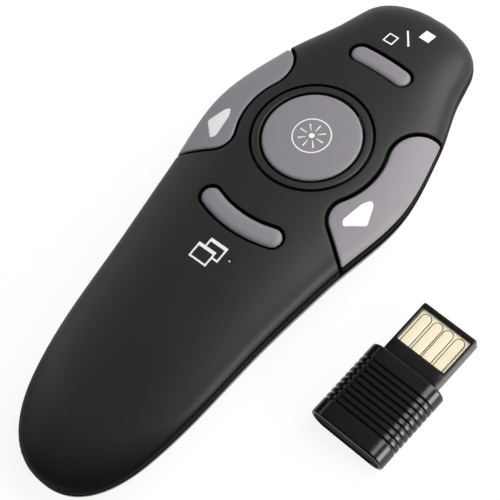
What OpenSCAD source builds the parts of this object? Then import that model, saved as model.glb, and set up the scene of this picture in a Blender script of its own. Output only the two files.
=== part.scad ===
// Wireless presentation clicker with its plug-in receiver lying beside it.
// Millimetres. +Y runs to the nose, +X to the right-hand key, +Z up.
// The origin is the middle of the flat that the clicker rests on.

/* [Body] */
// Length of the clicker from tail to nose
body_l = 115; // [110:1:120]
// Width of the tail, where the hand closes
tail_w = 30.8; // [30:0.2:33]
// Width of the grip, in front of the tail
grip_w = 33; // [32:0.2:35]
// Width at the middle of the length
waist_w = 37.8; // [37:0.2:40]
// Width across the two side keys
hip_w = 43; // [42:0.2:45]
// Width in front of the side keys
neck_w = 36.4; // [35:0.2:38]
// Width just behind the rounded nose
nose_w = 27.6; // [26.5:0.2:29]
// Length of the rounded end of the tail
tail_cap = 30; // [27:1:32]
// Length of the rounded end of the nose
nose_cap = 7; // [6:0.5:9]
// Height of the widest line at the middle of the length
side_h = 13.5; // [13.2:0.1:14.5]
// How far the widest line falls towards both ends
side_drop = 6.1; // [5:0.1:6.5]
// Height of the crown over the widest line
crown_h = 4.9; // [4.7:0.1:6]
// Thickness of both shells
wall = 1.3; // [1.2:0.05:1.5]

/* [Keys] */
// How far the middle of the round key lies in front of the widest place
laser_key_ahead = 1.9; // [1:0.1:3]
// Radius of the round laser key
laser_key_r = 9.3; // [8.5:0.1:9.6]
// Width of the ring round the laser key
bezel_w = 1.55; // [1.2:0.05:1.8]
// Depth that the ring is let into the shell
bezel_t = 0.8; // [0.6:0.05:0.9]
// Radius of the curve that the side keys keep from the round key
wing_ring_r = 14.5; // [14:0.1:15.5]
// Radius of the rounded front corner of the side keys
wing_round_front = 6.5; // [5:0.1:7]
// Radius of the rounded rear corner of the side keys
wing_round_rear = 4; // [3:0.1:5]
// Width of the front bar key
bar_key_w = 3.4; // [3:0.1:3.8]
// Length of the front bar key
bar_key_l = 12.6; // [11:0.1:14]
// Distance from the round key to the front bar key
bar_key_ahead = 20.4; // [19:0.1:21]
// Width of the curved key behind the round key
arc_key_w = 3.8; // [3.2:0.1:4.2]
// Distance from the round key to the middle of the curved key
arc_key_r = 21.4; // [20.5:0.1:22]
// Half of the angle that the curved key spans
arc_key_half = 19.5; // [15:0.5:22]
// Gap round each key
key_gap = 0.3; // [0.25:0.05:0.4]
// Thickness of a key's top
key_t = 1.5; // [1.3:0.05:1.6]
// How far the keys stand over the shell
key_raise = 0.3; // [0:0.05:0.5]
// Travel of each key
key_travel = 0.25; // [0.2:0.01:0.3]

/* [Batteries] */
// Radius of one cell
cell_r = 5.25; // [5.2:0.05:5.3]
// Length of one cell over its button
cell_l = 44.5; // [44:0.1:45]
// Room for a compressed contact spring
spring_l = 2.5; // [2:0.1:2.8]
// Room round each cell
cell_clear = 0.2; // [0.15:0.05:0.25]
// Half width of the cover where its edges are widest
cover_half = 11.3; // [11:0.1:11.6]
// Height at which the cover ends
cover_h = 3.6; // [3.2:0.1:3.8]
// Gap round the cover
cover_gap = 0.15; // [0.1:0.05:0.2]

/* [Electronics] */
// Thickness of the main board
board_t = 1; // [0.8:0.1:1]
// Height of a push switch
tact_h = 0.6; // [0.5:0.05:0.6]
// Side of a push switch
tact_w = 3; // [2.6:0.1:3.2]
// Radius of a push switch's plunger
plunger_r = 0.7; // [0.5:0.05:0.8]
// How far a plunger stands over its switch
plunger_h = 0.27; // [0.25:0.01:0.28]
// Running clearance round a plunger
plunger_clear = 0.05; // [0.03:0.01:0.08]
// Radius of the laser's barrel
barrel_r = 3; // [2.8:0.1:3.1]
// Length of the laser's barrel
barrel_l = 12; // [10:0.5:13]
// Travel of the power switch
power_travel = 2.5; // [2:0.1:3]

/* [Screws] */
// Radius of a case screw's thread
screw_r = 0.9; // [0.8:0.05:1]
// Radius of a case screw's head
screw_head_r = 1.6; // [1.5:0.05:1.7]
// Length of a case screw under its head
screw_l = 9; // [8:0.5:9]
// Radius of a screw boss
boss_r = 2.1; // [2:0.05:2.2]

/* [Receiver] */
// Width of the receiver's body
rx_w = 16.3; // [15:0.1:17]
// Thickness of the receiver's body
rx_h = 6; // [5.6:0.1:7]
// Length of the receiver's body
rx_l = 17; // [16:0.5:20]
// Width of the plug
plug_w = 12.1; // [11.9:0.05:12.1]
// Length of the plug that stands out
plug_l = 11.7; // [11.2:0.1:12]
// Thickness of the plug
plug_h = 2.8; // [2.4:0.1:2.9]
// Number of grooves round the receiver's body
groove_n = 9; // [5:1:10]
// Depth of a groove
groove_d = 0.45; // [0.3:0.05:0.5]
// Distance from groove to groove
groove_pitch = 1.25; // [1.1:0.05:1.3]
// Place of the receiver to the right of the clicker's middle line
rx_x = 37.6; // [37:0.2:60]
// Place of the receiver's shoulder along the clicker
rx_y = -1.6; // [-20:0.2:20]
// Angle of the receiver to the clicker
rx_turn = -3; // [-10:0.5:0]

/* [Hidden] */
$fn = 48;

// Stations of the plan outline and the half width at each
half_l = body_l / 2;
station_y = [for (f = [-0.765, -0.35, 0, 0.315, 0.59, 0.8]) f * half_l];
station_w = [tail_w, grip_w, waist_w, hip_w, neck_w, nose_w] / 2;
last = len(station_y) - 1;
tail_slope = -0.04;
nose_slope = -0.25;
tail_power = 2.25;
nose_power = 2.4;
// Exponent of the superellipse that the cross section follows
section_power = 2.32;
// Growth of the crown and the belly towards the ends, and how bluntly they end
crown_nose_gain = 1.1;
crown_end_gain = 1.9;
belly_nose_gain = 0.9;
end_power = 0.3;
// Depth of the belly under the widest line, a little more than the height, so that the rest face is flat
belly_d = side_h + 0.4;
// The parting line lies this share of the belly's depth under the widest line
part_share = 0.143;

// Loft resolution of the shells
ring_n = 40;
// How far a cut runs past the face that it opens
past = 1;
top_step = 10;
belly_step = 15;
end_stop = 0.9995;

// Keys
laser_key_y = station_y[3] + laser_key_ahead;
bezel_in_r = laser_key_r + key_gap;
bezel_r = bezel_in_r + bezel_w;
bezel_gap = 0.25;
bezel_shelf = 0.7;
bar_key_y = laser_key_y + bar_key_ahead;
bar_bow_r = 62;
under_gap = key_travel + 0.35;
wing_corners = [[9, 11.1], [24, 16.4], [24, -19.6], [9, -9]];
wing_reach = [-20, 18];
wing_rows = 14;
wing_step = 7.5;
ring_reach = bezel_r + 2.85;
ring_span = [50, 130];
key_span = [40, 140];
key_rows = 7;
key_cols = 12;
wing_switch = [14.8, laser_key_y - 6];
window_switch = [0, laser_key_y - arc_key_r];
bar_switch = [0, bar_key_y];
laser_switch = [0, laser_key_y];
stem_r = 1.1;
led_back = 28.2;
led_xy = [4, laser_key_y - led_back];
light_pipe_r = 0.45;
light_pipe_clear = 0.05;

// Batteries and their bay
cover_lift = 0.4;
bay_rear = -half_l + 11.5;
bay_front = bay_rear + cell_l + spring_l;
cell_z = wall + cover_lift + cell_r;
cell_x = cell_r + 0.1;
cell_nub_r = 1.9;
cell_nub_l = 1;
plate_t = 0.3;
plate_size = [5.6, 5.6];
spring_base_r = 2.7;
spring_tip_r = 1.9;
spring_wire = 0.4;
bulkhead_t = 0.8;
cover_front = bay_front + bulkhead_t;
cover_lean = 0.3;
bay_half = cell_x + cell_r;

// Board stack
board_z = cell_z + cell_r + cell_clear;
board_top = board_z + board_t;
board_outline = [[9, led_xy[1] - 2], [9, laser_key_y - 12], [16.8, laser_key_y - 9],
    [16.8, laser_key_y + 2], [14.2, laser_key_y + 9], [9, laser_key_y + 16], [6, laser_key_y + 18],
    [6, bar_key_y + 2.1]];
board_posts = [[10.5, laser_key_y - 6.5], [8, laser_key_y + 12.5]];
post_r = 1.5;
post_pin_r = 0.75;
post_clear = 0.1;
post_pin_l = 0.5;

chip_y = laser_key_y + 9.5;
controller_size = [5, 5, 0.9];
crystal_size = [2.5, 3.2, 0.8];
led_size = [1.6, 0.8, 0.5];
light_pipe_gap = 0.1;
tact_floor = 0.1;
press_spare = 0.1;
// Lowest underside of a key's top that still clears its push switch when pressed
key_floor = board_top + tact_h + key_travel + press_spare;
plunger_spare = 0.02;

// Laser in the nose
laser_z = side_h - side_drop - 0.2;
barrel_front = half_l - 3.5;
barrel_bore_r = barrel_r - 0.8;
optic_clear = 0.05;
window_r = barrel_r - 0.4;
window_t = 1;
window_y = half_l - 1.7;
cradle_t = 1.2;
cradle_inset = 1;
cradle_half = barrel_r + 1;
diode_l = 2;
diode_inset = 0.5;
lens_l = 1.5;
lens_inset = 1;

// Case screws, one pair by the bay and one in the nose, with the height that their heads seat at
screw_ahead = 4;
screw_sites = [[11.5, bay_front + screw_ahead, 5], [9, station_y[5] - 2, 3]];
boss_foot = wall + 0.9;
boss_gap = 0.3;
screw_head_t = 1.2;
screw_end_gap = 0.3;
screw_tight = 0.05;
screw_loose = 0.25;
screw_head_clear = 0.2;
cross_w = 0.5;
cross_l = 2.2;
cross_d = 0.7;

// Power switch in the belly
switch_ahead = 7.4;
power_size = [4.6, 9, 3.4];
power_y = bay_front + plate_t + bulkhead_t + switch_ahead + power_size[1] / 2;
knob_size = [1.8, 2.6];
knob_rear = power_y - (knob_size[1] + power_travel) / 2;
knob_sink = 0.5;
knob_clear = 0.15;
// Height over the belly's inside of the slot that the knob's foot runs in
knob_room = 2.2;

// Receiver
rx_cavity_w = rx_w - 2.2;
rx_cavity_h = 3.9;
rx_front_wall = 3.2;
rx_cap_rim = 0.7;
rx_cap_sink = 0.25;
rx_cap_t = 2;
rx_cap_clear = 0.1;
groove_start = 3;
groove_w = 0.45;
plug_clear = 0.05;
plug_rim = 0.65;
plug_front_rim = 0.95;
field_half = plug_w / 2 - plug_rim;
field_gap = 3.2;
rx_board_t = 0.8;
rx_board_top = plug_h / 2 - 0.5;
rx_board_l = 11;
rx_chip = [4, 4, 0.8];
rx_chip_inset = 2;
board_slot_spare = 0.02;
contact_w = 1.9;
contact_t = 0.12;
// Middles of the contacts on the right-hand side, the inner pair closer together
contact_x = [1.2, 3.8];
contact_l = 7.5;
contact_under = 0.5;

// Half width of the body at y, before the ends are rounded: a cubic through the stations
function slope(i) = i == 0 ? tail_slope : i == last ? nose_slope
    : (station_w[i + 1] - station_w[i - 1]) / (station_y[i + 1] - station_y[i - 1]);
function cubic(i, s, h) = (2 * s ^ 3 - 3 * s ^ 2 + 1) * station_w[i]
    + (s ^ 3 - 2 * s ^ 2 + s) * h * slope(i) + (3 * s ^ 2 - 2 * s ^ 3) * station_w[i + 1]
    + (s ^ 3 - s ^ 2) * h * slope(i + 1);
function span(y, i = 0) = i == last - 1 || y < station_y[i + 1] ? i : span(y, i + 1);
function spline(y) = y <= station_y[0] ? station_w[0] + tail_slope * (y - station_y[0])
    : y >= station_y[last] ? station_w[last] + nose_slope * (y - station_y[last])
    : let (i = span(y), h = station_y[i + 1] - station_y[i]) cubic(i, (y - station_y[i]) / h, h);
function rounded(s, power) = (1 - min(max(s, 0), 1) ^ power) ^ (1 / power);
function half_w(y) = spline(y) * rounded((tail_cap - half_l - y) / tail_cap, tail_power)
    * rounded((nose_cap - half_l + y) / nose_cap, nose_power);

// Heights along the body
function side_z(y) = side_h - side_drop * (y / half_l) ^ 2;
function ends(y) = (1 - min(abs(y / half_l), 1) ^ 2) ^ end_power;
function crown(y) = ends(y) * (crown_h + crown_nose_gain * y / half_l + crown_end_gain * (y / half_l) ^ 2);
function belly(y) = ends(y) * (belly_d + belly_nose_gain * y / half_l);
function part_z(y) = side_z(y) - part_share * belly(y);

// A size drawn in by t, and never to nothing
function drawn(v, t) = v > 2 * t ? v - t : v / 2;
function flank(r) = max(1 - r ^ section_power, 0) ^ (1 / section_power);
function signed(v) = sign(v) * abs(v) ^ (2 / section_power);
// Height of the outer skin over a point of the plan
function skin_z(x, y) = side_z(y) + crown(y) * flank(abs(x) / half_w(y));
// Point of the section at y, drawn in by t, at angle a: 0 is the right side and 90 the crown
function skin_pt(y, a, t) = let (up = sin(a) >= 0, h = drawn(up ? crown(y) : belly(y), t))
    [drawn(half_w(y), t) * signed(cos(a)), y * (half_l - t) / half_l,
    max(side_z(y) + h * signed(sin(a)), t)];
// Point on the parting line, lifted when a key keeps clear of it
function part_pt(y, t, s, lift = 0) = let (d = part_share * belly(y) - lift)
    [s * drawn(half_w(y), t) * flank(max(d, 0) / drawn(belly(y), t)), y * (half_l - t) / half_l,
    side_z(y) - d];

function loft_y(i) = -half_l * min(end_stop, max(-end_stop, cos(180 * i / ring_n)));
function top_ring(y, t) = concat([part_pt(y, t, 1)], [for (a = [0:top_step:180]) skin_pt(y, a, t)],
    [part_pt(y, t, -1)]);
function belly_ring(y, t) = concat([part_pt(y, t, -1)],
    [for (a = [180 + belly_step:belly_step:360 - belly_step]) skin_pt(y, a, t)], [part_pt(y, t, 1)]);

// Two triangles for each four-sided face, so that every face is flat
function halves(a, b, c, d) = [[a, b, c], [a, c, d]];
function flat(lists) = [for (l = lists) each l];

// A sheet between an outer and an inner grid of points, closed along all four edges.
// A half shell has its two ends closed by caps instead of by edges.
module sheet(outer, inner, capped = false) {
    rows = len(outer) - 1;
    m = len(outer[0]);
    k = len(outer) * m;
    skins = flat([for (i = [0:rows - 1], j = [0:m - 2]) let (a = i * m + j)
        concat(halves(a, a + 1, a + m + 1, a + m), halves(k + a, k + a + m, k + a + m + 1, k + a + 1))]);
    sides = flat([for (i = [0:rows - 1]) let (a = i * m, b = a + m - 1)
        concat(halves(a, a + m, k + a + m, k + a), halves(b, k + b, k + b + m, b + m))]);
    e = rows * m;
    edges = flat([for (j = [0:m - 2])
        concat(halves(j + 1, j, k + j, k + j + 1), halves(e + j, e + j + 1, k + e + j + 1, k + e + j))]);
    caps = [[for (j = [m - 1:-1:0]) j], [for (j = [0:m - 1]) k + j], [m - 1, 0, k, k + m - 1],
        [for (j = [0:m - 1]) e + j], [for (j = [m - 1:-1:0]) k + e + j],
        [e, e + m - 1, k + e + m - 1, k + e]];
    polyhedron(points = concat(flat(outer), flat(inner)),
        faces = concat(skins, sides, capped ? caps : edges));
}

// A piece of the skin between two depths, over part of the length and of the section
module patch(y_from, y_to, y_n, a_from, a_to, a_n, t_out, t_in) {
    rows = [for (i = [0:y_n]) y_from + (y_to - y_from) * i / y_n];
    angles = [for (j = [0:a_n]) a_from + (a_to - a_from) * j / a_n];
    sheet([for (y = rows) [for (a = angles) skin_pt(y, a, t_out)]],
        [for (y = rows) [for (a = angles) skin_pt(y, a, t_in)]]);
}

module tube(r, r_in, h) {
    difference() {
        cylinder(r = r, h = h);
        translate([0, 0, -past]) cylinder(r = r_in, h = h + 2 * past);
    }
}
module along_y(p) translate(p) rotate([-90, 0, 0]) children();
module both_sides() {
    children();
    mirror([1, 0, 0]) children();
}
module in_plan(p) translate([p[0], p[1], 0]) children();

// Plans of the keys
module round_plan(r) translate([0, laser_key_y]) circle(r = r);
module band_plan(r, w, half_a) {
    end = [r * sin(half_a), r * cos(half_a)];
    intersection() {
        difference() {
            circle(r = r + w / 2, $fn = 180);
            circle(r = r - w / 2, $fn = 180);
        }
        polygon([[0, 0], 2 * end, [-2 * end[0], 2 * end[1]]]);
    }
    for (s = [-1, 1]) translate([s * end[0], end[1]]) circle(r = w / 2);
}
module arc_plan(gap = 0) translate([0, laser_key_y]) rotate(180)
    band_plan(arc_key_r, arc_key_w + 2 * gap, arc_key_half);
module bar_plan(gap = 0) translate([0, bar_key_y - bar_bow_r])
    band_plan(bar_bow_r, bar_key_w + 2 * gap, asin((bar_key_l - bar_key_w) / 2 / bar_bow_r));
module wing_blank(round, gap) offset(r = round + gap) offset(delta = -round) difference() {
    polygon(wing_corners);
    circle(r = wing_ring_r);
}
module wing_plan(gap = 0) translate([0, laser_key_y]) {
    intersection() {
        wing_blank(wing_round_front, gap);
        square(hip_w);
    }
    intersection() {
        wing_blank(wing_round_rear, gap);
        translate([0, -hip_w]) square(hip_w);
    }
}

// Shells
module cells_room(clear) for (s = [-1, 1])
    along_y([s * cell_x, bay_rear, cell_z]) cylinder(r = cell_r + clear, h = bay_front - bay_rear);
module cover_channel(gap, y_end) {
    top_half = cover_half - gap;
    foot_half = top_half - cover_lean * (cover_h + 1);
    translate([0, y_end - gap, 0]) rotate([90, 0, 0]) linear_extrude(y_end - gap + half_l + past)
        polygon([[-foot_half, -1], [foot_half, -1], [top_half, cover_h - gap], [-top_half, cover_h - gap]]);
}
module aperture() along_y([0, barrel_front, laser_z]) cylinder(r = window_r + optic_clear, h = half_l);
// Depth of skin that the ring fills, on the same grid as the ring itself
module ring_patch(t_out, t_in) patch(laser_key_y - ring_reach, laser_key_y + ring_reach, 2 * key_rows,
    ring_span[0], ring_span[1], key_cols, t_out, t_in);
// The skin that a small key's top follows, between two places along the body
module key_patch(y_from, y_to) patch(y_from, y_to, key_rows, key_span[0], key_span[1], key_cols,
    -key_raise, key_t);

module top_shell() color([0.2, 0.2, 0.2]) difference() {
    union() {
        sheet([for (i = [0:ring_n]) top_ring(loft_y(i), 0)],
            [for (i = [0:ring_n]) top_ring(loft_y(i), wall)], true);
        both_sides() for (s = screw_sites) translate([s[0], s[1], part_z(s[1])])
            cylinder(r = boss_r, h = skin_z(s[0] + boss_r, s[1]) - wall / 2 - part_z(s[1]));
    }
    both_sides() {
        for (s = screw_sites) translate([s[0], s[1], s[2]])
            cylinder(r = screw_r + screw_tight, h = screw_l + screw_end_gap);
        linear_extrude(2 * side_h) wing_plan(key_gap);
    }
    intersection() {
        ring_patch(-1, bezel_t);
        linear_extrude(2 * side_h) round_plan(bezel_r + bezel_gap);
    }
    linear_extrude(2 * side_h) {
        round_plan(bezel_r - bezel_shelf);
        arc_plan(key_gap);
        bar_plan(key_gap);
        in_plan(led_xy) circle(r = light_pipe_r + light_pipe_clear);
    }
    cells_room(cell_clear);
    aperture();
}

// A wall across the belly, from just inside the outer skin up to the parting line
module bulkhead(y) translate([0, y, 0]) rotate([90, 0, 0]) linear_extrude(bulkhead_t) intersection() {
    polygon([for (p = belly_ring(y, wall / 2)) [p[0], p[2]]]);
    translate([-hip_w / 2, 0]) square([hip_w, part_z(y) - 1]);
}
module board_post(p) translate([p[0], p[1], wall]) {
    cylinder(r = post_r, h = board_z - wall);
    cylinder(r = post_pin_r, h = board_top + post_pin_l - wall);
}
module screw_hole(s) translate([s[0], s[1], 0]) {
    translate([0, 0, -past]) cylinder(r = screw_head_r + screw_head_clear, h = s[2] + past);
    cylinder(r = screw_r + screw_loose, h = side_h);
}
module belly_shell() sheet([for (i = [0:ring_n]) belly_ring(loft_y(i), 0)],
    [for (i = [0:ring_n]) belly_ring(loft_y(i), wall)], true);

// The slot that the switch's knob runs in, from height z upwards
module knob_slot(z, h) translate([-knob_size[0] / 2 - knob_clear, knob_rear - knob_clear, z])
    cube([knob_size[0] + 2 * knob_clear, knob_size[1] + power_travel + 2 * knob_clear, h]);

module bottom_shell() color([0.13, 0.13, 0.13]) difference() {
    union() {
        belly_shell();
        bulkhead(bay_rear - plate_t);
        bulkhead(bay_front + plate_t + bulkhead_t);
        both_sides() {
            for (s = screw_sites) translate([s[0], s[1], boss_foot])
                cylinder(r = boss_r, h = part_z(s[1]) - boss_foot);
            for (p = board_posts) board_post(p);
        }
        for (y = [barrel_front - barrel_l + cradle_inset, barrel_front - cradle_inset - cradle_t])
            translate([-cradle_half, y, wall / 2]) cube([2 * cradle_half, cradle_t, laser_z - wall / 2]);
    }
    cover_channel(0, cover_front);
    cells_room(cell_clear);
    translate([-bay_half, bay_rear, 0]) cube([2 * bay_half, bay_front - bay_rear, cell_z]);
    both_sides() for (s = screw_sites) screw_hole(s);
    along_y([0, barrel_front - barrel_l, laser_z]) cylinder(r = barrel_r + optic_clear, h = barrel_l);
    aperture();
    knob_slot(-past, wall + 2 * past);
}

module battery_cover() color([0.13, 0.13, 0.13]) difference() {
    intersection() {
        belly_shell();
        cover_channel(cover_gap, cover_front);
    }
    cells_room(cell_clear);
}

// Keys
module stem(p, z_top) translate([p[0], p[1], board_top + tact_h + plunger_h])
    cylinder(r = stem_r, h = z_top - board_top - tact_h - plunger_h);

module laser_key_bezel() color([0.17, 0.17, 0.17]) intersection() {
    ring_patch(0, bezel_t);
    linear_extrude(2 * side_h) difference() {
        round_plan(bezel_r);
        round_plan(bezel_in_r);
    }
}
module laser_key() color([0.55, 0.55, 0.57]) {
    intersection() {
        ring_patch(-key_raise, key_t);
        linear_extrude(2 * side_h) round_plan(laser_key_r);
    }
    stem(laser_switch, skin_z(0, laser_key_y) - key_t / 2);
}
module wing_key() {
    reach = wing_reach[1] - wing_reach[0];
    rows = [for (i = [0:wing_rows]) laser_key_y + wing_reach[0] + reach * i / wing_rows];
    angles = [0:wing_step:10 * wing_step];
    intersection() {
        sheet([for (y = rows) concat([part_pt(y, 0, 1, under_gap)], [for (a = angles) skin_pt(y, a, 0)])],
            [for (y = rows) concat([part_pt(y, key_t, 1, under_gap)],
                [for (a = angles) skin_pt(y, a, key_t)])]);
        linear_extrude(2 * side_h) wing_plan();
    }
    stem(wing_switch, skin_z(wing_switch[0] + stem_r, wing_switch[1]) - key_t / 2);
}
module next_key() color([0.6, 0.6, 0.62]) wing_key();
module previous_key() color([0.6, 0.6, 0.62]) mirror([1, 0, 0]) wing_key();
module blank_screen_key() color([0.52, 0.52, 0.54]) {
    intersection() {
        key_patch(bar_key_y - bar_key_w, bar_key_y + bar_key_w);
        translate([0, 0, key_floor]) linear_extrude(side_h) bar_plan();
    }
    stem(bar_switch, skin_z(0, bar_key_y) - key_t / 2);
}
module window_key() color([0.52, 0.52, 0.54]) {
    intersection() {
        key_patch(window_switch[1] - arc_key_w, window_switch[1] + 1.5 * arc_key_w);
        linear_extrude(2 * side_h) arc_plan();
    }
    stem(window_switch, skin_z(0, window_switch[1]) - key_t / 2);
}

// Board and what it carries
module main_board() color([0.1, 0.35, 0.18]) translate([0, 0, board_z]) difference() {
    linear_extrude(board_t) polygon(concat(board_outline, [for (i = [len(board_outline) - 1:-1:0])
        [-board_outline[i][0], board_outline[i][1]]]));
    both_sides() {
        for (p = board_posts) translate([p[0], p[1], -past])
            cylinder(r = post_pin_r + post_clear, h = board_t + 2 * past);
        for (s = screw_sites) translate([s[0], s[1], -past])
            cylinder(r = boss_r + boss_gap, h = board_t + 2 * past);
    }
}
module chip(p, size) translate([p[0] - size[0] / 2, p[1] - size[1] / 2, board_top]) cube(size);
module controller_chip() color([0.08, 0.08, 0.08]) chip([-2, chip_y], controller_size);
module radio_crystal() color([0.75, 0.75, 0.77]) chip([4, chip_y], crystal_size);
module status_led() color([0.9, 0.9, 0.85]) chip(led_xy, led_size);
light_pipe_foot = board_top + led_size[2] + light_pipe_gap;
module status_light_pipe() color([0.85, 0.85, 0.85]) translate([led_xy[0], led_xy[1], light_pipe_foot])
    cylinder(r = light_pipe_r, h = skin_z(led_xy[0], led_xy[1]) - light_pipe_gap - light_pipe_foot);
module tact_switch(p) color([0.7, 0.7, 0.7]) difference() {
    chip(p, [tact_w, tact_w, tact_h]);
    translate([p[0], p[1], board_top + tact_floor]) cylinder(r = plunger_r + plunger_clear, h = tact_h);
}
plunger_foot = tact_floor + key_travel + plunger_spare;
module plunger(p) color([0.2, 0.2, 0.2]) translate([p[0], p[1], board_top + plunger_foot])
    cylinder(r = plunger_r, h = tact_h + plunger_h - plunger_foot);

// Laser
module laser_barrel() color([0.72, 0.58, 0.3]) along_y([0, barrel_front - barrel_l, laser_z])
    tube(barrel_r, barrel_bore_r, barrel_l);
module laser_diode() color([0.8, 0.8, 0.8]) along_y([0, barrel_front - barrel_l + diode_inset, laser_z])
    cylinder(r = barrel_bore_r - optic_clear, h = diode_l);
module laser_lens() color([0.85, 0.9, 0.95]) along_y([0, barrel_front - lens_inset - lens_l, laser_z])
    cylinder(r = barrel_bore_r - optic_clear, h = lens_l);
module laser_window() color([0.5, 0.05, 0.05]) along_y([0, window_y, laser_z])
    cylinder(r = window_r, h = window_t);

// Batteries: the right cell points to the nose, the left cell to the tail
module cell() {
    cylinder(r = cell_r, h = cell_l - cell_nub_l);
    cylinder(r = cell_nub_r, h = cell_l);
}
module battery_right() color([0.25, 0.3, 0.4]) along_y([cell_x, bay_front - cell_l, cell_z]) cell();
module battery_left() color([0.25, 0.3, 0.4]) translate([-cell_x, bay_rear + cell_l, cell_z])
    rotate([90, 0, 0]) cell();
module plate(x, y) translate([x - plate_size[0] / 2, y, cell_z - plate_size[1] / 2])
    cube([plate_size[0], plate_t, plate_size[1]]);
// A cone spring's outline, from its wide base on the plate to its small end on the cell
module cone_spring() rotate_extrude() polygon([[spring_base_r - spring_wire, 0], [spring_base_r, 0],
    [spring_tip_r, spring_l], [spring_tip_r - spring_wire, spring_l]]);
module battery_springs() color([0.8, 0.8, 0.78]) {
    plate(cell_x, bay_rear - plate_t);
    along_y([cell_x, bay_rear, cell_z]) cone_spring();
    plate(-cell_x, bay_front);
    translate([-cell_x, bay_front, cell_z]) rotate([90, 0, 0]) cone_spring();
}
module battery_plates() color([0.8, 0.8, 0.78]) {
    plate(-cell_x, bay_rear - plate_t);
    plate(cell_x, bay_front);
}

// Power switch
module power_switch_body() color([0.6, 0.6, 0.6]) difference() {
    translate([-power_size[0] / 2, power_y - power_size[1] / 2, wall]) cube(power_size);
    knob_slot(wall - past, knob_room + past);
}
module power_switch_knob() color([0.1, 0.1, 0.1])
    translate([-knob_size[0] / 2, knob_rear, knob_sink])
    cube([knob_size[0], knob_size[1], wall + knob_room - knob_clear - knob_sink]);

module case_screws() color([0.75, 0.75, 0.77]) both_sides() for (s = screw_sites)
    translate([s[0], s[1], s[2]]) difference() {
        union() {
            cylinder(r = screw_r, h = screw_l);
            translate([0, 0, -screw_head_t]) cylinder(r = screw_head_r, h = screw_head_t);
        }
        for (a = [0, 90]) rotate(a) translate([-cross_l / 2, -cross_w / 2, -screw_head_t - 1])
            cube([cross_l, cross_w, cross_d + 1]);
    }

// Receiver, drawn with its shoulder at the origin and its plug along +Y
module place_receiver() translate([rx_x, rx_y, rx_h / 2]) rotate(rx_turn) children();
module oval(w, h) {
    square([w - h, h], center = true);
    for (s = [-1, 1]) translate([s * (w - h) / 2, 0]) circle(d = h);
}
module oval_bar(w, h, y_from, y_to) translate([0, y_to, 0]) rotate([90, 0, 0])
    linear_extrude(y_to - y_from) oval(w, h);
module plug_bar(w, h, y_from, y_to) translate([-w / 2, y_from, -h / 2]) cube([w, y_to - y_from, h]);

module receiver_sleeve() color([0.08, 0.07, 0.07]) place_receiver() difference() {
    oval_bar(rx_w, rx_h, -rx_l, 0);
    for (i = [0:groove_n - 1]) let (y = -groove_start - i * groove_pitch) difference() {
        oval_bar(rx_w + 2, rx_h + 2, y - groove_w, y);
        oval_bar(rx_w - 2 * groove_d, rx_h - 2 * groove_d, -rx_l, 0);
    }
    oval_bar(rx_cavity_w, rx_cavity_h, -rx_l - 1, -rx_front_wall);
    oval_bar(rx_w - 2 * rx_cap_rim, rx_h - 2 * rx_cap_rim, -rx_l - 1, -rx_l + rx_cap_sink + rx_cap_t);
    plug_bar(plug_w + 2 * plug_clear, plug_h + 2 * plug_clear, -rx_front_wall - 1, 1);
}
module receiver_end_cap() color([0.16, 0.13, 0.12]) place_receiver()
    oval_bar(rx_w - 2 * rx_cap_rim - 2 * rx_cap_clear, rx_h - 2 * rx_cap_rim - 2 * rx_cap_clear,
        -rx_l + rx_cap_sink, -rx_l + rx_cap_sink + rx_cap_t);
module receiver_plug() color([0.06, 0.06, 0.06]) place_receiver() difference() {
    plug_bar(plug_w, plug_h, -rx_front_wall, plug_l);
    translate([-field_half, field_gap, rx_board_top - rx_board_t])
        cube([2 * field_half, plug_l - plug_front_rim - field_gap, plug_h]);
    translate([-field_half, -rx_front_wall - 1, rx_board_top - rx_board_t])
        cube([2 * field_half, field_gap + rx_front_wall + 2, rx_board_t + contact_t + board_slot_spare]);
}
module receiver_board() color([0.95, 0.92, 0.78]) place_receiver()
    translate([-field_half + plug_clear, -rx_board_l, rx_board_top - rx_board_t])
    cube([2 * (field_half - plug_clear), rx_board_l + plug_l - plug_front_rim - plug_clear, rx_board_t]);
module receiver_contacts() color([0.93, 0.8, 0.5]) place_receiver() both_sides() for (x = contact_x)
    translate([x, field_gap - contact_under, rx_board_top]) linear_extrude(contact_t) {
        translate([-contact_w / 2, 0]) square([contact_w, contact_l - contact_w / 2]);
        translate([0, contact_l - contact_w / 2]) circle(d = contact_w);
    }
module receiver_chip() color([0.08, 0.08, 0.08]) place_receiver()
    translate([-rx_chip[0] / 2, -rx_board_l + rx_chip_inset, rx_board_top]) cube(rx_chip);

top_shell();
bottom_shell();
battery_cover();
laser_key_bezel();
laser_key();
previous_key();
next_key();
blank_screen_key();
window_key();
status_light_pipe();
main_board();
controller_chip();
radio_crystal();
status_led();
tact_switch(laser_switch);  // laser_tact_switch
tact_switch([-wing_switch[0], wing_switch[1]]);  // previous_tact_switch
tact_switch(wing_switch);  // next_tact_switch
tact_switch(bar_switch);  // blank_tact_switch
tact_switch(window_switch);  // window_tact_switch
plunger(laser_switch);  // laser_plunger
plunger([-wing_switch[0], wing_switch[1]]);  // previous_plunger
plunger(wing_switch);  // next_plunger
plunger(bar_switch);  // blank_plunger
plunger(window_switch);  // window_plunger
laser_barrel();
laser_diode();
laser_lens();
laser_window();
battery_left();
battery_right();
battery_springs();
battery_plates();
power_switch_body();
power_switch_knob();
case_screws();
receiver_sleeve();
receiver_end_cap();
receiver_plug();
receiver_board();
receiver_contacts();
receiver_chip();
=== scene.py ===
"""Looks of a wireless presentation clicker and its plug-in receiver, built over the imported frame.

Meshes are worked out in millimetres in the part's frame and turned into metres by new_mesh. Node trees, lamps
and the camera are in metres. The case is one closed form, whose sections are superellipses: TOP and UNDER are
its skin over and under the widest line, and every shell, key and print of the clicker is a patch of them.
"""

import math

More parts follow.
